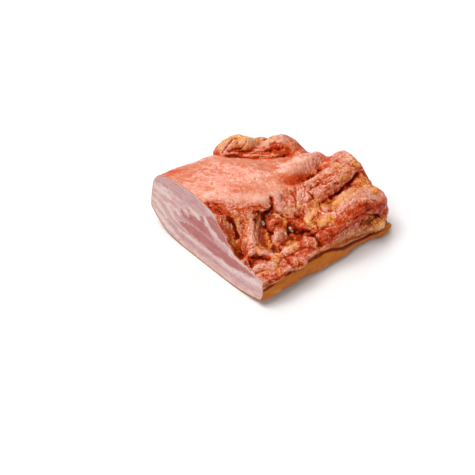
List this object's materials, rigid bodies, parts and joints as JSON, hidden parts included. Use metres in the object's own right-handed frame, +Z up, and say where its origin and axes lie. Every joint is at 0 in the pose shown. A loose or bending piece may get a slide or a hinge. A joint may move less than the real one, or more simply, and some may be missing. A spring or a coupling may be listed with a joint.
{
  "type": "smoked pork belly block",
  "caption": "Block of smoked pork belly lying on its rind, cut flat across one end, with a smooth browned top that breaks into folds, lumps and crevices.",
  "frame": {"origin": "centre of the bounding box's bottom face, on the surface the block lies on", "axes": "+X from the cut end to the far end, +Y from the thin front side to the thick back side, +Z up"},
  "size_m": [0.1894, 0.1868, 0.0714],
  "materials": {
    "smoked_pork": "smoked crust, red-orange to golden brown, slightly moist; pink lean and white fat in layers on the cut end; tan rind underneath"
  },
  "bodies": {
    "root": {"pork_belly": "smoked_pork"}
  },
  "joints": []
}
